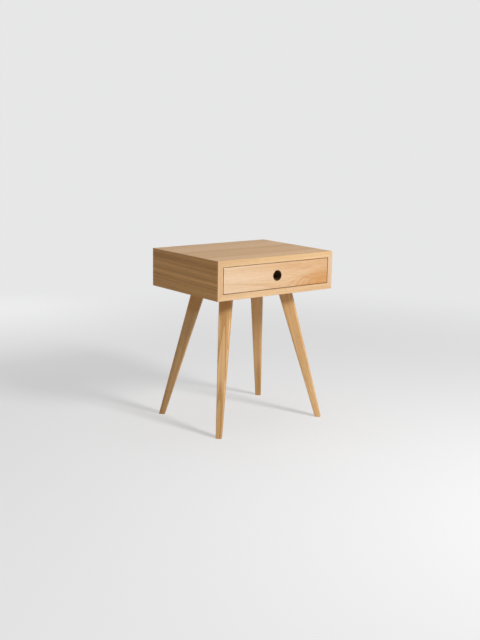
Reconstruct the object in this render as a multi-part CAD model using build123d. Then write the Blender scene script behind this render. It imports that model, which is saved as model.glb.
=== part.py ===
from build123d import *
import math
import os

# A bedside table: an oak box with mitred corners on four splayed square legs, with one inset drawer that
# runs on telescopic ball slides. The front faces -Y, +X is on the right of someone who faces it, and +Z is
# up. The origin lies on the floor under the middle of the box. All sizes are in millimetres.

# Overall sizes
width = 450.0
depth = 350.0
height = 545.0
box_height = 120.0

# Boards of the box
board = 19.0
lipping_depth = 4.0
arris_radius = 1.0
back_thickness = 6.0
back_setback = 8.0
back_groove_depth = 6.0
spline_thickness = 3.0
spline_width = 12.0
spline_cover = 1.0
spline_rear_stop = 14.0

# Clearance on each side of a piece that is glued or screwed into a groove or a hole
fit = 0.1

# Legs
leg_top_width = 40.0
leg_foot_width = 18.0
leg_edge_radius = 2.5
leg_inset_x = 110.0
leg_inset_y = 105.0
leg_splay_x = 86.0
leg_splay_y = 87.0
foot_edge_radius = 0.5
leg_bolt_diameter = 8.0
leg_bolt_depth = 45.0
insert_wall = 2.0
insert_cover = 2.0

# Drawer
reveal = 2.0
drawer_front_thickness = 19.0
drawer_front_edge_radius = 0.8
finger_hole_diameter = 32.0
finger_hole_edge_radius = 1.2
drawer_board = 12.0
drawer_floor_room = 8.0
drawer_head_room = 12.0
drawer_bottom_thickness = 5.0
drawer_bottom_lift = 7.0
drawer_groove_depth = 6.0
tail_count = 3
tail_slope = 1.0 / 6.0
pin_width = 5.0

# Telescopic slides, which are sold in steps of length
slide_height = 35.0
slide_sheet = 1.0
bend_radius = 0.3
slide_step = 50.0
slide_setback = 2.0
slide_rear_room = 8.0
ball_diameter = 3.0
ball_play = 0.03
ball_pitch = 14.0
ball_offset = 2.4
ball_stagger = 3.0
race_depth = 0.4
race_play = 0.1
outer_flange_lap = 3.6
middle_flange_lap = 1.6
inner_flange_lap = 2.2
inner_web_gap = 3.1
cage_sheet = 0.4
cage_room = 0.2
cage_flange_lap = 2.0
cage_end_margin = 12.0
stop_length = 6.0
stop_height = 14.0
stop_play = 0.3

# Screws
slide_screw_head_diameter = 7.0
slide_screw_head_height = 1.4
slide_screw_diameter = 3.5
slide_screw_cover = 3.0
slide_screw_end = 35.0
slide_screw_shift = 16.0
access_hole_play = 1.0
front_screw_head_diameter = 8.0
front_screw_head_height = 2.4
front_screw_diameter = 4.0
front_screw_cover = 6.0
front_screw_inset = 60.0
front_screw_spacing = 50.0
bottom_screw_head_diameter = 7.0
bottom_screw_head_height = 2.2
bottom_screw_diameter = 3.5
bottom_screw_length = 20.0
bottom_screw_spacing = 130.0

# Planes of the box, worked out from the sizes above
left = -width / 2
right = width / 2
front = -depth / 2
back = depth / 2
box_bottom = height - box_height
opening_bottom = box_bottom + board
opening_top = height - board
opening_left = left + board
opening_right = right - board
board_front = front + lipping_depth
back_panel_front = back - back_setback - back_thickness

# Widths across one slide, u, from the board of the box towards the drawer
outer_cage_web = slide_sheet + slide_screw_head_height + cage_room
middle_web = outer_cage_web + cage_sheet + cage_room
inner_cage_web = middle_web + slide_sheet + 2 * cage_room
outer_ball_u = middle_web + ball_offset
inner_ball_u = outer_ball_u + ball_stagger
slide_room = inner_ball_u + inner_web_gap + slide_sheet

# Planes of the drawer
drawer_box_front = front + drawer_front_thickness
drawer_box_left = opening_left + slide_room
drawer_box_right = opening_right - slide_room
drawer_side_bottom = opening_bottom + drawer_floor_room
drawer_side_top = opening_top - drawer_head_room
drawer_bottom_underside = drawer_side_bottom + drawer_bottom_lift
drawer_bottom_upside = drawer_bottom_underside + drawer_bottom_thickness

# Length of the slides: the longest one on sale that fits behind the drawer front
slide_space = back_panel_front - slide_rear_room - drawer_box_front - slide_setback
slide_length = slide_step * math.floor(slide_space / slide_step)
slide_front = drawer_box_front + slide_setback
slide_rear = slide_front + slide_length
drawer_box_rear = slide_rear


def block(x0, x1, y0, y1, z0, z1, grow=0.0):
    """A rectangular block between its faces, or that block grown on all sides to cut its own housing."""
    centre = Pos((x0 + x1) / 2, (y0 + y1) / 2, (z0 + z1) / 2)
    return centre * Box(x1 - x0 + 2 * grow, y1 - y0 + 2 * grow, z1 - z0 + 2 * grow)


def prism_along_y(outline, y0, y1):
    """An outline of (x, z) points, carried from one depth to another."""
    wire = Polyline(*[(x, y0, z) for x, z in outline], close=True)
    return extrude(make_face(wire), amount=y1 - y0, dir=(0, 1, 0))


def prism_along_x(outline, x0, x1):
    """An outline of (y, z) points, carried from one side to the other."""
    wire = Polyline(*[(x0, y, z) for y, z in outline], close=True)
    return extrude(make_face(wire), amount=x1 - x0, dir=(1, 0, 0))


def rod(start, direction, length, radius):
    """A round bar from a point, along a direction."""
    from_start = (Align.CENTER, Align.CENTER, Align.MIN)
    return Plane(origin=start, z_dir=direction) * Cylinder(radius, length, align=from_start)


def mirrored(piece):
    """The same piece on the other side of the table."""
    return mirror(piece, about=Plane.YZ)


# Box: four boards with mitred corners, each with a solid lipping on its front edge
outer_corners = [(left, box_bottom), (right, box_bottom), (right, height), (left, height)]
inner_corners = [
    (opening_left, opening_bottom),
    (opening_right, opening_bottom),
    (opening_right, opening_top),
    (opening_left, opening_top),
]
mitred_outlines = {}
for start, side in enumerate(("bottom", "right", "top", "left")):
    end = (start + 1) % len(outer_corners)
    outer_edge = [outer_corners[start], outer_corners[end]]
    mitred_outlines[side] = outer_edge + [inner_corners[end], inner_corners[start]]
sharp_box = block(left, right, front, back, box_bottom, height)
eased_box = fillet(sharp_box.edges(), arris_radius)


def box_strip(side, y0, y1):
    """The part of one mitred board that lies between two depths, with its outer edges eased."""
    return prism_along_y(mitred_outlines[side], y0, y1) & eased_box


# Back panel, in a groove in all four boards
back_panel_faces = (
    opening_left - back_groove_depth,
    opening_right + back_groove_depth,
    back_panel_front,
    back_panel_front + back_thickness,
    opening_bottom - back_groove_depth,
    opening_top + back_groove_depth,
)
back_panel = block(*back_panel_faces)
back_groove = block(*back_panel_faces, grow=fit)


# Splines, thin strips glued across each mitre
def spline(side_x, side_z, grow=0.0):
    """One spline, square to its mitre and just outside the groove of the back panel."""
    corner_x = opening_right if side_x > 0 else opening_left
    corner_z = opening_top if side_z > 0 else opening_bottom
    from_corner = back_groove_depth * math.sqrt(2) + spline_cover + spline_thickness / 2
    half_thickness = spline_thickness / 2 + grow
    half_width = spline_width / 2 + grow
    outline = []
    for along, across in ((-1, -1), (1, -1), (1, 1), (-1, 1)):
        out = from_corner + along * half_thickness
        aside = across * half_width
        x = corner_x + side_x * (out + aside) / math.sqrt(2)
        z = corner_z + side_z * (out - aside) / math.sqrt(2)
        outline.append((x, z))
    return prism_along_y(outline, board_front, back - spline_rear_stop + grow)


spline_names = {
    "spline_top_left": (-1, 1),
    "spline_top_right": (1, 1),
    "spline_bottom_left": (-1, -1),
    "spline_bottom_right": (1, -1),
}
splines = {name: spline(*sides) for name, sides in spline_names.items()}
spline_slots = [spline(*sides, grow=fit) for sides in spline_names.values()]

panels = {}
lippings = {}
for side in mitred_outlines:
    panels[side] = box_strip(side, board_front, back) - back_groove - spline_slots
    lippings[side] = box_strip(side, front, board_front)


# Legs: square tapers with rounded edges, which lean out to the corners with one face outwards. They are
# cut flush under the box and flat on the floor. Each one has a hanger bolt on its own axis, which screws
# into an insert in the bottom board.
bolt_radius = leg_bolt_diameter / 2
insert_radius = bolt_radius + fit + insert_wall
leg_slab = block(left - width, right + width, front - depth, back + depth, 0, box_bottom)


def leg_set(side_x, side_y):
    """A leg, its bolt, its insert and the hole that the insert needs in the bottom board."""
    top_x = side_x * (width / 2 - leg_inset_x)
    top_y = side_y * (depth / 2 - leg_inset_y)
    top = Vector(top_x, top_y, box_bottom)
    foot = Vector(top_x + side_x * leg_splay_x, top_y + side_y * leg_splay_y, 0)
    axis = (top - foot).normalized()
    axis_length = (top - foot).length
    tilt = math.acos(axis.Z)

    overrun = leg_top_width
    taper = (leg_top_width - leg_foot_width) / 2 / axis_length
    blank_width = leg_top_width + 2 * taper * overrun
    lean = Vector(foot.X - top.X, foot.Y - top.Y, 0)
    blank_plane = Plane(origin=top + axis * overrun, x_dir=lean, z_dir=-axis)
    blank_end = blank_plane * Rectangle(blank_width, blank_width)
    blank = extrude(blank_end, axis_length + 2 * overrun, taper=math.degrees(math.atan(taper)))
    long_edges = blank.edges().sort_by(SortBy.LENGTH)[-4:]
    sharp_leg = blank & leg_slab
    foot_edges = sharp_leg.edges().group_by(Axis.Z)[0]
    leg = fillet(long_edges, leg_edge_radius) & fillet(foot_edges, foot_edge_radius)
    leg -= rod(top + axis * bolt_radius, -axis, leg_bolt_depth + bolt_radius + fit, bolt_radius + fit)

    insert_start = insert_radius * math.tan(tilt)
    insert_end = (board - insert_cover - insert_radius * math.sin(tilt)) / math.cos(tilt)
    insert = rod(top + axis * insert_start, axis, insert_end - insert_start, insert_radius)
    insert -= rod(top, axis, insert_end + insert_cover, bolt_radius + fit)
    bolt = rod(top - axis * leg_bolt_depth, axis, leg_bolt_depth + insert_end, bolt_radius)
    hole = rod(top - axis * board, axis, board + insert_end + fit, insert_radius + fit)
    return leg, bolt, insert, hole


legs = {}
leg_bolts = []
leg_inserts = []
for name_y, side_y in (("front", -1), ("back", 1)):
    for name_x, side_x in (("left", -1), ("right", 1)):
        leg, bolt, insert, hole = leg_set(side_x, side_y)
        legs[f"leg_{name_y}_{name_x}"] = leg
        leg_bolts.append(bolt)
        leg_inserts.append(insert)
        panels["bottom"] -= hole


# Screws: a head that stands on z = 0 and a pointed shank below it, with a cross recess in the head
def screw(head_diameter, head_height, diameter, length, countersunk=False):
    """One wood screw, with a flat head or one that is sunk into the surface."""
    under_head = (Align.CENTER, Align.CENTER, Align.MAX)
    on_seat = (Align.CENTER, Align.CENTER, Align.MIN)
    if countersunk:
        head_top = 0.0
        head = Cone(diameter / 2, head_diameter / 2, head_height, align=under_head)
    else:
        head_top = head_height
        head_edge_radius = head_height / 3
        head = Cylinder(head_diameter / 2, head_height, align=on_seat)
        head = fillet(head.edges().group_by(Axis.Z)[-1], head_edge_radius)
    point_length = diameter
    point_end_radius = diameter / 20
    shank = Cylinder(diameter / 2, length - point_length, align=under_head)
    point = Cone(point_end_radius, diameter / 2, point_length, align=under_head)
    point = Pos(0, 0, point_length - length) * point
    recess_depth = 0.6 * head_height
    recess_length = 0.55 * head_diameter
    recess_width = 0.25 * diameter
    recess = Pos(0, 0, head_top) * Box(recess_length, recess_width, 2 * recess_depth)
    return head + shank + point - recess - Rot(0, 0, 90) * recess


def screw_hole(diameter, length):
    """The hole that a screw's shank needs, from above its seat to just past its point."""
    under_top = (Align.CENTER, Align.CENTER, Align.MAX)
    above_seat = diameter
    hole = Cylinder(diameter / 2 + fit, above_seat + length + fit, align=under_top)
    return Pos(0, 0, above_seat) * hole


slide_screw_length = slide_sheet + drawer_board - slide_screw_cover
slide_screw = screw(
    slide_screw_head_diameter, slide_screw_head_height, slide_screw_diameter, slide_screw_length
)
slide_screw_hole = screw_hole(slide_screw_diameter, slide_screw_length)

# Slides: three nested channels on each side of the drawer. A section is drawn for the left side, with u as
# above and v up from the middle of the slide.
slide_middle = (drawer_side_bottom + drawer_side_top) / 2
ball_radius = ball_diameter / 2
race_radius = ball_radius + race_play

outer_half = slide_height / 2
outer_race_v = outer_half - slide_sheet + race_depth
outer_ball_v = outer_race_v - ball_play - ball_radius
middle_half = outer_ball_v - ball_radius - ball_play + race_depth
inner_race_v = middle_half - slide_sheet + race_depth
inner_ball_v = inner_race_v - ball_play - ball_radius
inner_half = inner_ball_v - ball_radius - ball_play + race_depth
moving_rear = slide_rear - stop_length - stop_play


def channel(web_u, tip_u, half_height, sheet, y0, y1):
    """A channel of bent sheet: two flanges that turn through round bends into a web."""
    web_inside = web_u + math.copysign(sheet, tip_u - web_u)
    section = [
        (web_u, -half_height),
        (tip_u, -half_height),
        (tip_u, sheet - half_height),
        (web_inside, sheet - half_height),
        (web_inside, half_height - sheet),
        (tip_u, half_height - sheet),
        (tip_u, half_height),
        (web_u, half_height),
    ]
    sharp = prism_along_y([(opening_left + u, slide_middle + v) for u, v in section], y0, y1)
    web_is_last = web_u > tip_u
    inside_corners = sharp.edges().filter_by(Axis.Y).group_by(Axis.X, reverse=web_is_last)[1]
    bent_inside = fillet(inside_corners, bend_radius)
    outside_corners = bent_inside.edges().filter_by(Axis.Y).group_by(Axis.X, reverse=web_is_last)[0]
    return fillet(outside_corners, bend_radius + sheet)


def races(u, centre_v):
    """The two round grooves that a pair of ball rows runs in."""
    start_y = slide_front - slide_sheet
    long_enough = slide_length + 2 * slide_sheet
    grooves = []
    for way in (-1, 1):
        start = (opening_left + u, start_y, slide_middle + way * centre_v)
        grooves.append(rod(start, (0, 1, 0), long_enough, race_radius))
    return grooves


# Screws of the outer member go into the box, screws of the inner member go into the drawer
box_screw_places = [slide_front + slide_screw_end, slide_rear - slide_screw_end]
drawer_screw_end = slide_screw_end + slide_screw_shift
drawer_screw_places = [slide_front + drawer_screw_end, slide_rear - drawer_screw_end]


def into_box(y):
    """The seat of a screw through the outer member, at one depth."""
    return Pos(opening_left + slide_sheet, y, slide_middle) * Rot(0, 90, 0)


def into_drawer(y):
    """The seat of a screw through the inner member, at one depth."""
    return Pos(drawer_box_left - slide_sheet, y, slide_middle) * Rot(0, -90, 0)


box_screws = [into_box(y) * slide_screw for y in box_screw_places]
box_screw_holes = [into_box(y) * slide_screw_hole for y in box_screw_places]
drawer_screws = [into_drawer(y) * slide_screw for y in drawer_screw_places]
drawer_screw_holes = [into_drawer(y) * slide_screw_hole for y in drawer_screw_places]
access_radius = slide_screw_head_diameter / 2 + access_hole_play
access_holes = []
for y in box_screw_places:
    start = (opening_left + slide_sheet + slide_screw_head_height, y, slide_middle)
    access_holes.append(rod(start, (1, 0, 0), slide_room, access_radius))

outer_tip = outer_ball_u + outer_flange_lap
outer_member = channel(0.0, outer_tip, outer_half, slide_sheet, slide_front, slide_rear)
outer_member -= races(outer_ball_u, outer_race_v - race_radius)
outer_member -= box_screw_holes

middle_tip = inner_ball_u + middle_flange_lap
middle_member = channel(middle_web, middle_tip, middle_half, slide_sheet, slide_front, moving_rear)
middle_member -= races(outer_ball_u, middle_half - race_depth + race_radius)
middle_member -= races(inner_ball_u, inner_race_v - race_radius)
middle_member -= access_holes

inner_tip = inner_ball_u - inner_flange_lap
inner_member = channel(slide_room, inner_tip, inner_half, slide_sheet, slide_front, moving_rear)
inner_member -= races(inner_ball_u, inner_half - race_depth + race_radius)
inner_member -= access_holes
inner_member -= drawer_screw_holes

# Ball cages: each one stays inside both of its races over the whole travel, so it is at most half a slide
# long
cage_length = slide_length / 2 - 2 * cage_end_margin
cage_middle = (slide_front + moving_rear) / 2
balls_in_row = math.floor((cage_length - 2 * ball_diameter) / ball_pitch) + 1


def cage_with_balls(web_u, ball_u, ball_v):
    """A channel of thin sheet with two rows of balls in its flanges."""
    y0 = cage_middle - cage_length / 2
    half_height = ball_v + cage_sheet / 2
    cage = channel(web_u, ball_u + cage_flange_lap, half_height, cage_sheet, y0, y0 + cage_length)
    balls = []
    for number in range(balls_in_row):
        y = cage_middle + (number - (balls_in_row - 1) / 2) * ball_pitch
        for way in (-1, 1):
            place = Pos(opening_left + ball_u, y, slide_middle + way * ball_v)
            balls.append(place * Sphere(ball_radius))
            cage -= place * Cylinder(ball_radius + ball_play, ball_diameter)
    return cage, balls


outer_cage, outer_balls = cage_with_balls(outer_cage_web, outer_ball_u, outer_ball_v)
inner_cage, inner_balls = cage_with_balls(inner_cage_web, inner_ball_u, inner_ball_v)

# Rubber stop on the rear of the outer member, which the two moving members come up to
slide_stop = block(
    opening_left + slide_sheet,
    drawer_box_left - slide_sheet,
    slide_rear - stop_length,
    slide_rear,
    slide_middle - stop_height / 2,
    slide_middle + stop_height / 2,
)

panels["left"] -= box_screw_holes
panels["right"] -= [mirrored(hole) for hole in box_screw_holes]

# Drawer front, inset in the opening with an even reveal, with a finger hole through its middle
front_bottom = opening_bottom + reveal
front_top = opening_top - reveal
front_middle = (front_bottom + front_top) / 2
drawer_front = block(
    opening_left + reveal, opening_right - reveal, front, drawer_box_front, front_bottom, front_top
)
finger_hole = rod(
    (0, front - board, front_middle),
    (0, 1, 0),
    2 * board + drawer_front_thickness + drawer_board,
    finger_hole_diameter / 2,
)
drawer_front -= finger_hole
show_face = drawer_front.faces().sort_by(Axis.Y)[0]
drawer_front = fillet(show_face.outer_wire().edges(), drawer_front_edge_radius)
show_face = drawer_front.faces().sort_by(Axis.Y)[0]
drawer_front = fillet(show_face.inner_wires()[0].edges(), finger_hole_edge_radius)


# Drawer box: dovetailed sides, an inner front, a back that stands on the bottom, and the bottom in grooves
def tails(end_y, shoulder_y, z0, z1):
    """The dovetails at one end of the left side: wide at the end, narrow at the shoulder."""
    pitch = (z1 - z0) / tail_count
    half_at_end = (pitch - pin_width) / 2
    half_at_shoulder = half_at_end - tail_slope * abs(shoulder_y - end_y)
    shapes = []
    for number in range(tail_count):
        middle = z0 + (number + 0.5) * pitch
        outline = [
            (end_y, middle - half_at_end),
            (end_y, middle + half_at_end),
            (shoulder_y, middle + half_at_shoulder),
            (shoulder_y, middle - half_at_shoulder),
        ]
        shapes.append(prism_along_x(outline, drawer_box_left, drawer_box_left + drawer_board))
    return shapes


inner_front_rear = drawer_box_front + drawer_board
back_front = drawer_box_rear - drawer_board
front_tails = tails(drawer_box_front, inner_front_rear, drawer_side_bottom, drawer_side_top)
back_tails = tails(drawer_box_rear, back_front, drawer_bottom_upside, drawer_side_top)
side_inside = drawer_box_left + drawer_board

drawer_bottom_faces = (
    side_inside - drawer_groove_depth,
    drawer_groove_depth - side_inside,
    inner_front_rear - drawer_groove_depth,
    drawer_box_rear,
    drawer_bottom_underside,
    drawer_bottom_upside,
)
drawer_bottom = block(*drawer_bottom_faces)
drawer_groove = block(*drawer_bottom_faces, grow=fit)

front_joint = block(
    drawer_box_left, side_inside, drawer_box_front, inner_front_rear, drawer_side_bottom, drawer_side_top
)
back_joint = block(
    drawer_box_left, side_inside, back_front, drawer_box_rear, drawer_bottom_upside, drawer_side_top
)
drawer_left_side = block(
    drawer_box_left, side_inside, drawer_box_front, drawer_box_rear, drawer_side_bottom, drawer_side_top
)
drawer_left_side -= front_joint - front_tails
drawer_left_side -= back_joint - back_tails
drawer_left_side -= drawer_groove
drawer_left_side -= drawer_screw_holes

drawer_inner_front = block(
    drawer_box_left,
    drawer_box_right,
    drawer_box_front,
    inner_front_rear,
    drawer_side_bottom,
    drawer_side_top,
)
drawer_inner_front -= front_tails + [mirrored(tail) for tail in front_tails]
drawer_inner_front -= drawer_groove
drawer_inner_front -= finger_hole

drawer_back = block(
    drawer_box_left, drawer_box_right, back_front, drawer_box_rear, drawer_bottom_upside, drawer_side_top
)
drawer_back -= back_tails + [mirrored(tail) for tail in back_tails]

# Screws from inside the box into the drawer front, in one row
front_screw_length = drawer_board + drawer_front_thickness - front_screw_cover
front_screw = screw(
    front_screw_head_diameter, front_screw_head_height, front_screw_diameter, front_screw_length
)
front_screw_hole = screw_hole(front_screw_diameter, front_screw_length)
front_screw_height = (drawer_bottom_upside + drawer_side_top) / 2
outer_screw_x = drawer_box_right - front_screw_inset
inner_screw_x = outer_screw_x - front_screw_spacing
front_screws = []
for x in (-outer_screw_x, -inner_screw_x, inner_screw_x, outer_screw_x):
    seat = Pos(x, inner_front_rear, front_screw_height) * Rot(-90, 0, 0)
    front_screws.append(seat * front_screw)
    drawer_front -= seat * front_screw_hole
    drawer_inner_front -= seat * front_screw_hole

# Screws from below, through the bottom into the lower edge of the back
bottom_screw = screw(
    bottom_screw_head_diameter,
    bottom_screw_head_height,
    bottom_screw_diameter,
    bottom_screw_length,
    countersunk=True,
)
bottom_screw_hole = screw_hole(bottom_screw_diameter, bottom_screw_length)
bottom_screw_sink = Cone(
    bottom_screw_diameter / 2 + fit,
    bottom_screw_head_diameter / 2 + fit,
    bottom_screw_head_height,
    align=(Align.CENTER, Align.CENTER, Align.MAX),
)
bottom_screws = []
for number in (-1, 0, 1):
    place = (number * bottom_screw_spacing, (back_front + drawer_box_rear) / 2, drawer_bottom_underside)
    seat = Pos(*place) * Rot(180, 0, 0)
    bottom_screws.append(seat * bottom_screw)
    drawer_bottom -= [seat * bottom_screw_hole, seat * bottom_screw_sink]
    drawer_back -= seat * bottom_screw_hole

# Every piece of the table by name; pieces of the same kind that only fasten are one group
pieces = {
    "top_panel": panels["top"],
    "bottom_panel": panels["bottom"],
    "left_side_panel": panels["left"],
    "right_side_panel": panels["right"],
    "top_lipping": lippings["top"],
    "bottom_lipping": lippings["bottom"],
    "left_lipping": lippings["left"],
    "right_lipping": lippings["right"],
    "back_panel": back_panel,
    **splines,
    **legs,
    "leg_bolts": Compound(leg_bolts),
    "leg_inserts": Compound(leg_inserts),
    "drawer_front": drawer_front,
    "drawer_inner_front": drawer_inner_front,
    "drawer_left_side": drawer_left_side,
    "drawer_right_side": mirrored(drawer_left_side),
    "drawer_back": drawer_back,
    "drawer_bottom": drawer_bottom,
    "drawer_front_screws": Compound(front_screws),
    "drawer_bottom_screws": Compound(bottom_screws),
    "slide_box_screws": Compound(box_screws + [mirrored(piece) for piece in box_screws]),
    "slide_drawer_screws": Compound(drawer_screws + [mirrored(piece) for piece in drawer_screws]),
}
left_slide = {
    "outer_member": outer_member,
    "middle_member": middle_member,
    "inner_member": inner_member,
    "outer_cage": outer_cage,
    "inner_cage": inner_cage,
    "outer_balls": Compound(outer_balls),
    "inner_balls": Compound(inner_balls),
    "stop": slide_stop,
}
for name, piece in left_slide.items():
    pieces[f"left_slide_{name}"] = piece
    pieces[f"right_slide_{name}"] = mirrored(piece)

os.makedirs("parts", exist_ok=True)
for name, piece in pieces.items():
    export_step(piece, f"parts/{name}.step")
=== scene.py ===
import math

import bmesh
import bpy
from mathutils import Matrix, Vector


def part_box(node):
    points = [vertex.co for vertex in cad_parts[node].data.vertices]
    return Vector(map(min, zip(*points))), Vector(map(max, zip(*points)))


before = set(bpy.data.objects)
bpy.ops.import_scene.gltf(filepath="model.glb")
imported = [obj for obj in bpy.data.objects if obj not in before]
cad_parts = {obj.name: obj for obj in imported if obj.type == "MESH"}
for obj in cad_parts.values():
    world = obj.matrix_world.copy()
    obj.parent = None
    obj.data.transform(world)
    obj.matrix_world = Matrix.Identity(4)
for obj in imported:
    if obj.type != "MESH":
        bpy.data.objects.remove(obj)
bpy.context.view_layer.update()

# Top and bottom boards of the box
# Each is glued up from oak staves, planed to 19 mm, sanded and oiled. The grain runs across the
# nightstand, and the mitred ends are glued to the sides over a loose spline.


class Shade:
    """One socket of a shader node. Arithmetic on it adds the Math nodes that it needs."""

    def __init__(self, socket):
        self.socket = socket

    def node(self, kind, settings, inputs, output=0):
        """Adds any other node. Its settings are made first, then its sockets get values or links."""
        made = self.socket.id_data.nodes.new(kind)
        for name, value in settings.items():
            setattr(made, name, value)
        self.feed(made, inputs)
        return Shade(made.outputs[output])

    def feed(self, node, inputs):
        """Gives sockets of a node their values or links."""
        for name, value in inputs.items():
            if isinstance(value, Shade):
                self.socket.id_data.links.new(value.socket, node.inputs[name])
            else:
                node.inputs[name].default_value = value

    def maths(self, operation, *others):
        return self.node("ShaderNodeMath", {"operation": operation}, dict(enumerate((self, *others))))

    def __add__(self, other):
        return self.maths("ADD", other)

    def __radd__(self, other):
        return self.maths("ADD", other)

    def __sub__(self, other):
        return self.maths("SUBTRACT", other)

    def __rsub__(self, other):
        return self.node("ShaderNodeMath", {"operation": "SUBTRACT"}, {0: other, 1: self})

    def __mul__(self, other):
        return self.maths("MULTIPLY", other)

    def __rmul__(self, other):
        return self.maths("MULTIPLY", other)

    def __truediv__(self, other):
        return self.maths("DIVIDE", other)

    def __rtruediv__(self, other):
        return self.node("ShaderNodeMath", {"operation": "DIVIDE"}, {0: other, 1: self})

    def vector(self, operation, *others, output="Vector"):
        inputs = dict(enumerate((self, *others)))
        return self.node("ShaderNodeVectorMath", {"operation": operation}, inputs, output)

    def axis(self, name):
        return self.node("ShaderNodeSeparateXYZ", {}, {"Vector": self}, name)

    def step(self, low, high, at_low=0.0, at_high=1.0):
        """Goes smoothly from at_low to at_high as the value goes from low to high."""
        return self.node(
            "ShaderNodeMapRange",
            {"interpolation_type": "SMOOTHSTEP"},
            {"Value": self, "From Min": low, "From Max": high, "To Min": at_low, "To Max": at_high},
        )

    def noise(self, stretch, detail=2.0, output="Fac"):
        """Even noise whose features are about 1 / stretch metres long on each axis."""
        inputs = {"Vector": self.vector("MULTIPLY", stretch), "Scale": 1.0, "Detail": detail}
        return self.node("ShaderNodeTexNoise", {"noise_dimensions": "3D"}, inputs, output)

    def blend(self, first, second):
        """Goes from the first colour to the second as this value goes from 0 to 1."""
        first, second = [c if isinstance(c, Shade) else (*c, 1.0) for c in (first, second)]
        settings = {"data_type": "RGBA", "clamp_factor": True}
        return self.node("ShaderNodeMix", settings, {0: self, 6: first, 7: second}, 2)

    def bump(self, distance, strength):
        inputs = {"Height": self, "Distance": distance, "Strength": strength}
        return self.node("ShaderNodeBump", {}, inputs, "Normal")


def new_finish(name):
    """A new material, its shader, and the place on the piece that its pattern is read from."""
    material = bpy.data.materials.new(name)
    material.use_nodes = True
    nodes = material.node_tree.nodes
    place = Shade(nodes.new("ShaderNodeTexCoord").outputs["Object"])
    return material, nodes["Principled BSDF"], place


def dress(material, *nodes):
    """Gives solids of the frame their finish."""
    for name in nodes:
        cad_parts[name].material_slots[0].material = material


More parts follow.
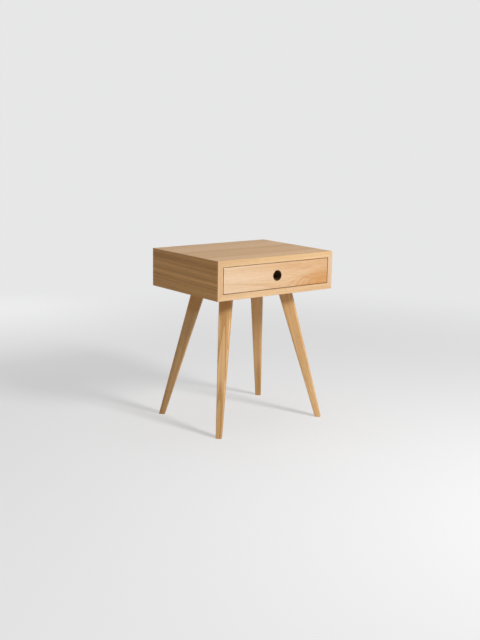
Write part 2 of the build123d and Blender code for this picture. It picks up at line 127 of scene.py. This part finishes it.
def timber(
    name,
    heart,
    along,
    face,
    pale,
    dark,
    figure=0.22,
    pores=0.55,
    streak=(0.9, 0.036),
    stave=None,
    bend=None,
    deepen=None,
    stain=None,
):
    """Oiled wood, sawn from a log whose heart passes through a point in a direction.

    The face is the direction that the broad side of the board looks in. Rings, pores and rays all
    lie about the heart, so the figure of each surface follows from the cut, and the ends show end
    grain. A streak is the strength and width of the long bands of colour. A stave is the width and
    first number of glued-up strips, side by side in Y, which come from different places in the log.
    A bend is the stretch along the grain on which the heart comes nearer to the face, and by how
    much. Deepen works out how much darker the surface is at a place in the log and at its distance
    from the heart, some of it painted shade. The last argument gives where shade is painted dark into
    the surface.
    """
    oil_gloss = 0.25
    oil_roughness = 0.58
    material, shader, place = new_finish(name)
    shader.inputs["Specular IOR Level"].default_value = oil_gloss
    along = Vector(along).normalized()
    across = Vector(face).cross(along).normalized()
    turn = Matrix((along, across, along.cross(across)))
    log = place.node(
        "ShaderNodeMapping",
        {"vector_type": "POINT"},
        {"Vector": place, "Location": -(turn @ Vector(heart)), "Rotation": turn.to_euler()},
    )
    tone = 0.34
    middle = (0.5, 0.5, 0.5)
    if stave:
        stave_spread = (3.0, 0.16, 0.05)
        stave_contrast = 0.35
        width, first = stave
        strip = (place.axis("Y") / width + first).maths("FLOOR")
        draw = place.node("ShaderNodeTexWhiteNoise", {"noise_dimensions": "1D"}, {"W": strip}, "Color")
        shift = draw.vector("SUBTRACT", middle)
        log = shift.vector("MULTIPLY_ADD", stave_spread, log)
        tone = shift.axis("X") * stave_contrast + tone
    if bend:
        start, end, amount = bend
        nearer = log.axis("X").step(start, end, 0.0, -amount)
        log = log.vector("ADD", place.node("ShaderNodeCombineXYZ", {}, {"Z": nearer}))

    # Rings about the heart, which sways along the log. Years differ in width and in richness of colour.
    ring_width = 0.0027
    sway_reach = 0.024
    ripple_years = 1.6
    uneven_years = 3.0
    sway = log.noise((1.4, 7.0, 7.0), 1.0, "Color").vector("SUBTRACT", middle)
    grown = sway.vector("MULTIPLY_ADD", (0.0, sway_reach, sway_reach), log)
    radius = grown.vector("MULTIPLY", (0.0, 1.0, 1.0)).vector("LENGTH", output="Value")
    angle = log.axis("Y").maths("ARCTAN2", log.axis("Z"))
    polar = place.node("ShaderNodeCombineXYZ", {}, {"X": log.axis("X"), "Y": angle, "Z": radius})
    ripple = log.noise((0.7, 30.0, 30.0), 1.0) * ripple_years
    uneven = polar.noise((0.0, 0.0, 80.0), 1.0) * uneven_years
    years = radius / ring_width + ripple + uneven
    richness = polar.noise((0.4, 1.0, 170.0), 1.0).step(0.3, 0.7, 0.3, 1.3)
    early_share = 0.6
    early = years.maths("FRACT").step(0.0, early_share, 1.0, 0.0) * richness

    # Streaks, fibres, the open vessels that crowd in the early wood, and rays out from the heart
    strength, width = streak
    early_vessels = 0.85
    late_vessels = 0.12
    streaks = (log.noise((0.7, 1.0 / width, 1.0 / width), 3.0) - 0.5) * strength
    fibre = log.noise((4.0, 260.0, 260.0), 4.0) - 0.5
    crowd = early * early_vessels + late_vessels
    vessels = log.noise((70.0, 2400.0, 2400.0), 1.0).step(0.55, 0.68) * crowd
    rays = polar.noise((45.0, 160.0, 90.0), 0.0).step(0.60, 0.70)

    # Colour: pale to dark wood with any darkening and painted shade from deepen, then the brown of the
    # vessels, rays and end grain, then any painted shade in a hollow
    fibre_contrast = 0.6
    ray_depth = 0.2
    end_depth = 0.6
    # Painted shade: how far it goes towards a near-black brown
    stain_depth = 0.85
    brown = tuple(0.45 * c for c in dark)
    stain_brown = tuple(0.2 * c for c in brown)
    tone = streaks + early * figure + fibre * fibre_contrast + tone
    if deepen:
        tone = tone + deepen(log, radius)
    colour = tone.blend(pale, dark)
    colour = (vessels * pores).blend(colour, brown)
    colour = (rays * ray_depth).blend(colour, dark)
    normal = place.node("ShaderNodeNewGeometry", {}, {}, "Normal")
    end_grain = normal.vector("DOT_PRODUCT", along, output="Value").maths("ABSOLUTE").step(0.6, 0.95)
    colour = (end_grain * end_depth).blend(colour, brown)
    # Painted shade, blended in where its mask is 1
    if stain:
        colour = (stain(place) * stain_depth).blend(colour, stain_brown)

    # Feel: the vessels and the soft early wood lie a little lower and take less shine, and the rays
    # take more
    fibre_relief = 0.35
    early_relief = 0.2
    grain_depth = 0.0002
    grain_strength = 0.6
    early_dulls = 0.06
    vessels_dull = 0.2
    rays_shine = 0.08
    relief = fibre * fibre_relief - vessels * pores - early * early_relief
    roughness = oil_roughness + early * early_dulls + vessels * vessels_dull - rays * rays_shine
    place.feed(
        shader,
        {
            "Base Color": colour,
            "Roughness": roughness,
            "Normal": relief.bump(grain_depth, grain_strength),
        },
    )
    return material


oak_pale = (0.78, 0.535, 0.320)
oak_dark = (0.55, 0.315, 0.140)
stave_width = 0.072
first_staves = {"top_panel": 3.5, "bottom_panel": 23.5}
# Place of the heart from the middle of a board
board_heart = Vector((0.0, 0.15, -0.09))
for board, first in first_staves.items():
    low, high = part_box(board)
    heart = (low + high) / 2 + board_heart
    wood = timber(
        "oak_" + board,
        heart,
        (1.0, 0.02, 0.0),
        (0.0, 0.0, 1.0),
        oak_pale,
        oak_dark,
        stave=(stave_width, first),
    )
    dress(wood, board)

# Sides of the box
# Oak boards of the same thickness, with the grain running from front to back. They are mitred
# to the top and bottom boards.

side_pale = (0.86, 0.475, 0.19)
side_dark = (0.40, 0.18, 0.05)
side_figure = 0.35
side_streak = (1.9, 0.013)
side_heart_behind = 0.07
side_heart_below = 0.16
for board, outward in (("left_side_panel", -1.0), ("right_side_panel", 1.0)):
    low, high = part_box(board)
    heart = (low + high) / 2 - Vector((side_heart_behind * outward, 0.0, side_heart_below))
    wood = timber(
        "oak_" + board,
        heart,
        (0.0, 1.0, 0.02),
        (outward, 0.0, 0.0),
        side_pale,
        side_dark,
        side_figure,
        streak=side_streak,
    )
    dress(wood, board)

# Splines in the mitres
# Loose beech tongues, glued into grooves across the four corner joints. Beech is pinker than oak, and
# its pores are too fine to see.

beech_pale = (0.66, 0.44, 0.29)
beech_dark = (0.52, 0.32, 0.19)
spline_wood = timber(
    "beech_splines",
    (0.0, 0.0, 0.40),
    (0.0, 1.0, 0.0),
    (0.0, 0.0, 1.0),
    beech_pale,
    beech_dark,
    pores=0.1,
)
dress(spline_wood, "spline_top_left", "spline_top_right", "spline_bottom_left", "spline_bottom_right")

# Lippings
# Solid oak strips glued over the front edges of the four boards and mitred at the corners. The grain
# runs along each strip.

lipping_streak = (1.6, 0.02)
# Direction of the grain, place of the heart from the middle of the strip, and pale colour of each strip
lippings = {
    "top_lipping": ((1.0, 0.004, 0.01), (0.0, 0.05, -0.06), (0.73, 0.495, 0.268)),
    "bottom_lipping": ((1.0, 0.006, -0.01), (0.0, 0.06, 0.05), (0.77, 0.535, 0.315)),
    "left_lipping": ((0.01, 0.01, 1.0), (-0.05, 0.05, 0.0), (0.725, 0.48, 0.275)),
    "right_lipping": ((-0.01, 0.01, 1.0), (0.06, 0.05, 0.0), (0.71, 0.52, 0.365)),
}
for strip, (along, offset, pale) in lippings.items():
    low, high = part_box(strip)
    heart = (low + high) / 2 + Vector(offset)
    wood = timber("oak_" + strip, heart, along, (0.0, -1.0, 0.0), pale, oak_dark, streak=lipping_streak)
    dress(wood, strip)

# Back of the box
# A thin oak-veneered plywood panel, glued into grooves in the four boards.

back_heart = Vector((0.0, -0.09, -0.02))
low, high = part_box("back_panel")
heart = (low + high) / 2 + back_heart
veneer = timber("oak_veneer_back", heart, (1.0, 0.02, 0.0), (0.0, 1.0, 0.0), oak_pale, oak_dark)
dress(veneer, "back_panel")

# Legs
# Square oak legs, sawn and planed to a straight taper, with rounded edges, and cut to stand splayed
# with one face towards the corner. Each is screwed up to the bottom board on a steel hanger bolt that
# runs into a brass insert.

# How far the middle of a leg lies from the corner of its box, at the top and at the foot
leg_top_spread = 0.0283
leg_foot_spread = 0.0130
leg_pale = (0.80, 0.50, 0.240)
leg_dark = (0.54, 0.295, 0.110)
leg_streak = (1.8, 0.012)
# Heights above the middle of a leg between which its foot grows paler, and its top grows darker with
# shade painted where the box above shades it
foot_fade = (-0.136, -0.046)
painted_top_shade_span = (0.12, 0.185)
# Place of the heart behind and beside each leg, paleness, figure, how much darker its foot is, and how
# much shade is painted on its top under the box
leg_cuts = {
    "leg_front_left": (-0.0118, -0.0035, 1.04, 1.0, 0.45, 0.75),
    "leg_front_right": (-0.06, 0.10, 1.02, 0.3, -0.2, 0.15),
    "leg_back_left": (-0.07, -0.09, 0.92, 0.3, 0.15, 1.4),
    "leg_back_right": (-0.08, 0.11, 1.0, 0.3, 0.3, 0.0),
}


def darker_foot_and_painted_top_shade(lift, foot_shade, painted_top_shade):
    """Wood that is darker at its foot, with shade from the box painted on its top. The heart's place is
    above the middle by the lift.
    """

    def deepen(log, radius):
        height = log.axis("X") + lift
        # The second step is painted shade: the top of the leg is darkened where the box above shades it
        return height.step(*foot_fade, foot_shade, 0.0) + height.step(*painted_top_shade_span, 0.0, painted_top_shade)

    return deepen


for leg, (behind, aside, paleness, figure, foot_shade, painted_top_shade) in leg_cuts.items():
    low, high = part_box(leg)
    x_side = -1 if leg.endswith("left") else 1
    y_side = -1 if "front" in leg else 1
    outward = Vector((x_side, y_side, 0.0))
    sideways = Vector((-y_side, x_side, 0.0))
    outer = Vector((low.x if x_side < 0 else high.x, low.y if y_side < 0 else high.y, low.z))
    inner = Vector((high.x if x_side < 0 else low.x, high.y if y_side < 0 else low.y, high.z))
    foot = outer - outward * leg_foot_spread
    top = inner + outward * leg_top_spread
    middle = (top + foot) / 2
    heart = middle + outward * behind + sideways * aside
    # The grain runs along the outer face, which the taper tilts
    grain = top - foot + outward * (leg_top_spread - leg_foot_spread) / 2
    lift = grain.normalized().dot(heart - middle)
    pale = Vector(leg_pale) * paleness
    dark = Vector(leg_dark) * paleness
    wood = timber(
        "oak_" + leg,
        heart,
        grain,
        outward,
        pale,
        dark,
        figure,
        streak=leg_streak,
        deepen=darker_foot_and_painted_top_shade(lift, foot_shade, painted_top_shade),
    )
    dress(wood, leg)


def metal(name, colour, roughness, streak):
    """Plated or bare metal, clouded and streaked as its making left it.

    A streak is how fine the marks are along each axis, as 1 over their length.
    """
    streak_depth = 0.00004
    streak_strength = 0.4
    material, shader, place = new_finish(name)
    shader.inputs["Metallic"].default_value = 1.0
    drawn = place.noise(streak, 3.0)
    cloud = place.noise((90.0, 90.0, 90.0), 2.0)
    dark = tuple(0.8 * c for c in colour)
    place.feed(
        shader,
        {
            "Base Color": (drawn * 0.6 + cloud * 0.4).step(0.3, 0.7).blend(dark, colour),
            "Roughness": (drawn - 0.5) * 0.15 + (cloud - 0.5) * 0.1 + roughness,
            "Normal": drawn.bump(streak_depth, streak_strength),
        },
    )
    return material


turned_streak = (900.0, 900.0, 900.0)
screw_steel = metal("bright_screw_steel", (0.62, 0.62, 0.60), 0.3, turned_streak)
insert_brass = metal("insert_brass", (0.78, 0.56, 0.25), 0.3, turned_streak)
dress(screw_steel, "leg_bolts")
dress(insert_brass, "leg_inserts")

# Telescopic slides
# Three zinc-plated steel channels on each side, which run on steel balls held in sheet cages. A
# rubber block stops the drawer at the back.

rolled_streak = (2200.0, 12.0, 2200.0)
slide_zinc = metal("zinc_plated_slide", (0.66, 0.67, 0.69), 0.34, rolled_streak)
cage_steel = metal("cage_sheet_steel", (0.52, 0.52, 0.51), 0.4, rolled_streak)
ball_steel = metal("polished_ball_steel", (0.72, 0.72, 0.73), 0.12, turned_streak)
rubber_black = (0.012, 0.012, 0.012)
rubber_bloom = (0.035, 0.034, 0.033)
rubber_depth = 0.0001
rubber_strength = 0.4
stop_rubber, rubber_shader, place = new_finish("black_stop_rubber")
speck = place.noise((1500.0, 1500.0, 1500.0), 2.0)
place.feed(
    rubber_shader,
    {
        "Base Color": speck.blend(rubber_black, rubber_bloom),
        "Roughness": 0.7 + speck * 0.2,
        "Normal": speck.bump(rubber_depth, rubber_strength),
    },
)
for side in ("left", "right"):
    for member in ("outer", "middle", "inner"):
        dress(slide_zinc, f"{side}_slide_{member}_member")
    for ring in ("outer", "inner"):
        dress(cage_steel, f"{side}_slide_{ring}_cage")
        dress(ball_steel, f"{side}_slide_{ring}_balls")
    dress(stop_rubber, f"{side}_slide_stop")
dress(screw_steel, "slide_box_screws", "slide_drawer_screws")

# Drawer box
# Oak boards, 12 mm thick, dovetailed at the corners, with a plywood bottom that slides into
# grooves from behind and is screwed up into the back.

for board, offset in (("drawer_left_side", -0.07), ("drawer_right_side", 0.06)):
    low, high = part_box(board)
    heart = (low + high) / 2 + Vector((offset, 0.0, 0.02))
    dress(timber("oak_" + board, heart, (0.01, 1.0, 0.02), (1.0, 0.0, 0.0), oak_pale, oak_dark), board)
finger_hole_radius = 0.016
low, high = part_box("drawer_front")
finger_hole_centre = (low + high) / 2


def painted_hole_shade(place):
    """1 on the wall of the finger hole, where shade is painted dark, and 0 elsewhere."""
    from_axis = place.vector("SUBTRACT", finger_hole_centre).vector("MULTIPLY", (1.0, 0.0, 1.0))
    outside_wall = from_axis.vector("LENGTH", output="Value") - finger_hole_radius
    return outside_wall.step(0.0001, 0.0007, 1.0, 0.0)


# The inner front gets painted shade on the wall of the finger hole
for board, offset, stain in (("drawer_inner_front", 0.08, painted_hole_shade), ("drawer_back", -0.07, None)):
    low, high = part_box(board)
    heart = (low + high) / 2 + Vector((0.0, offset, -0.02))
    wood = timber(
        "oak_" + board,
        heart,
        (1.0, 0.01, 0.02),
        (0.0, 1.0, 0.0),
        oak_pale,
        oak_dark,
        stain=stain,
    )
    dress(wood, board)
bottom_heart = Vector((0.0, 0.03, -0.10))
low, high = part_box("drawer_bottom")
heart = (low + high) / 2 + bottom_heart
veneer = timber("oak_veneer_bottom", heart, (1.0, 0.0, 0.03), (0.0, 0.0, 1.0), oak_pale, oak_dark)
dress(veneer, "drawer_bottom")
dress(screw_steel, "drawer_bottom_screws", "drawer_front_screws")

# Drawer front
# A flat oak board with a round finger hole, screwed to the drawer box from inside. Its left end is
# pale and even, and a darker flame of figure comes in from the lower right.

front_pale = (0.775, 0.587, 0.402)
front_dark = (0.54, 0.255, 0.074)
front_figure = 0.14
front_bend = (0.02, 0.20, 0.015)
# How far the heart lies behind the face, and above the lower edge
front_heart_behind = 0.100
front_heart_above = 0.003


def flame(log, radius):
    """Wood that turns darker towards the right, and darker still close to the heart."""
    return log.axis("X").step(-0.20, 0.22, -0.22, 0.28) + radius.step(0.092, 0.104, 0.28, 0.0)


low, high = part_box("drawer_front")
heart = Vector((0.0, low.y + front_heart_behind, low.z + front_heart_above))
# The wall of the finger hole gets painted shade
front_wood = timber(
    "oak_drawer_front",
    heart,
    (1.0, 0.0, 0.0),
    (0.0, -1.0, 0.0),
    front_pale,
    front_dark,
    front_figure,
    bend=front_bend,
    deepen=flame,
    stain=painted_hole_shade,
)
dress(front_wood, "drawer_front")

# Floor
# A wide sheet of white paper. It fades into the plain backdrop away from the nightstand.

backdrop = (0.80, 0.80, 0.805)
floor_radius = 12.0
fade_start = 0.8
fade_end = 2.6
paper_white = (0.78, 0.78, 0.78, 1.0)
shadow_grey = (0.42, 0.42, 0.42, 1.0)
near_glow = 0.58
floor_mesh = bmesh.new()
bmesh.ops.create_circle(floor_mesh, cap_ends=True, segments=128, radius=floor_radius)
floor_data = bpy.data.meshes.new("floor")
floor_mesh.to_mesh(floor_data)
floor_mesh.free()
floor = bpy.data.objects.new("floor", floor_data)
bpy.context.scene.collection.objects.link(floor)


def seen_ray(shade):
    """1 for what the camera sees, straight, mirrored or through glass, and 0 for bounced light."""
    kinds = ("Is Camera Ray", "Is Glossy Ray", "Is Transmission Ray")
    camera, glossy, through = [shade.node("ShaderNodeLightPath", {}, {}, kind) for kind in kinds]
    return camera.maths("MAXIMUM", glossy).maths("MAXIMUM", through)


paper = bpy.data.materials.new("white_paper")
paper.use_nodes = True
paper.node_tree.nodes.clear()
place = Shade(paper.node_tree.nodes.new("ShaderNodeTexCoord").outputs["Object"])
far = place.vector("LENGTH", output="Value").step(fade_start, fade_end)
bounce = place.node("ShaderNodeBsdfDiffuse", {}, {"Color": paper_white})
grey = place.node("ShaderNodeBsdfDiffuse", {}, {"Color": shadow_grey})
glow = place.node("ShaderNodeEmission", {}, {"Color": (*backdrop, 1.0), "Strength": near_glow})
near = place.node("ShaderNodeAddShader", {}, {0: grey, 1: glow})
away = place.node("ShaderNodeEmission", {}, {"Color": (*backdrop, 1.0), "Strength": 1.0})
shown = place.node("ShaderNodeMixShader", {}, {0: far, 1: near, 2: away})
lit = place.node("ShaderNodeMixShader", {}, {0: seen_ray(place), 1: bounce, 2: shown})
clear = place.node("ShaderNodeBsdfTransparent", {}, {})
below = place.node("ShaderNodeNewGeometry", {}, {}, "Backfacing")
surface = place.node("ShaderNodeMixShader", {}, {0: below, 1: lit, 2: clear})
place.feed(paper.node_tree.nodes.new("ShaderNodeOutputMaterial"), {"Surface": surface})
floor_data.materials.append(paper)

# Studio light
# One soft lamp high at the front right, weak ones at the left, overhead and low behind, and an even
# pale room.

room_light = 0.12
# Place, width and watts of each lamp
lamps = {
    "key": ((0.57, -2.52, 1.92), 0.7, 78.0),
    "fill": ((-2.6, -0.4, 0.9), 1.4, 4.5),
    "overhead": ((0.2, 0.2, 2.8), 2.4, 10.5),
    "rear": ((0.1, 2.6, 0.45), 0.9, 14.0),
}
aim = Vector((0.0, 0.0, 0.40))
for name, (position, width, watts) in lamps.items():
    lamp = bpy.data.lights.new(name, "AREA")
    lamp.shape = "DISK"
    lamp.size = width
    lamp.energy = watts
    holder = bpy.data.objects.new(name, lamp)
    holder.location = position
    holder.rotation_euler = (aim - holder.location).to_track_quat("-Z", "Y").to_euler()
    bpy.context.scene.collection.objects.link(holder)

room = bpy.data.worlds.new("pale_room")
bpy.context.scene.world = room
room.use_nodes = True
room.node_tree.nodes.clear()
sky = Shade(room.node_tree.nodes.new("ShaderNodeTexCoord").outputs["Generated"])
ambient = sky.node("ShaderNodeBackground", {}, {"Color": (1.0, 1.0, 1.0, 1.0), "Strength": room_light})
plain = sky.node("ShaderNodeBackground", {}, {"Color": (*backdrop, 1.0), "Strength": 1.0})
mixed = sky.node("ShaderNodeMixShader", {}, {0: seen_ray(sky), 1: ambient, 2: plain})
sky.feed(room.node_tree.nodes.new("ShaderNodeOutputWorld"), {"Surface": mixed})

# Camera
# It stands to the left of the front at about eye height of someone sitting, and looks slightly down.

yaw = math.radians(37.67)
pitch = math.radians(11.50)
roll = math.radians(0.95)
focal_length = 56.73
viewpoint = Vector((-1.9456, -2.5120, 0.9631))
forward = Vector((math.sin(yaw) * math.cos(pitch), math.cos(yaw) * math.cos(pitch), -math.sin(pitch)))
level = Vector((math.cos(yaw), -math.sin(yaw), 0.0))
upright = level.cross(forward)
right = math.cos(roll) * level + math.sin(roll) * upright
up = math.cos(roll) * upright - math.sin(roll) * level
lens = bpy.data.cameras.new("camera")
lens.lens = focal_length
camera = bpy.data.objects.new("camera", lens)
stance = Matrix((right, up, -forward)).transposed().to_4x4()
camera.matrix_world = Matrix.Translation(viewpoint) @ stance
bpy.context.scene.collection.objects.link(camera)
bpy.context.scene.camera = camera
bpy.context.scene.view_settings.view_transform = "Standard"
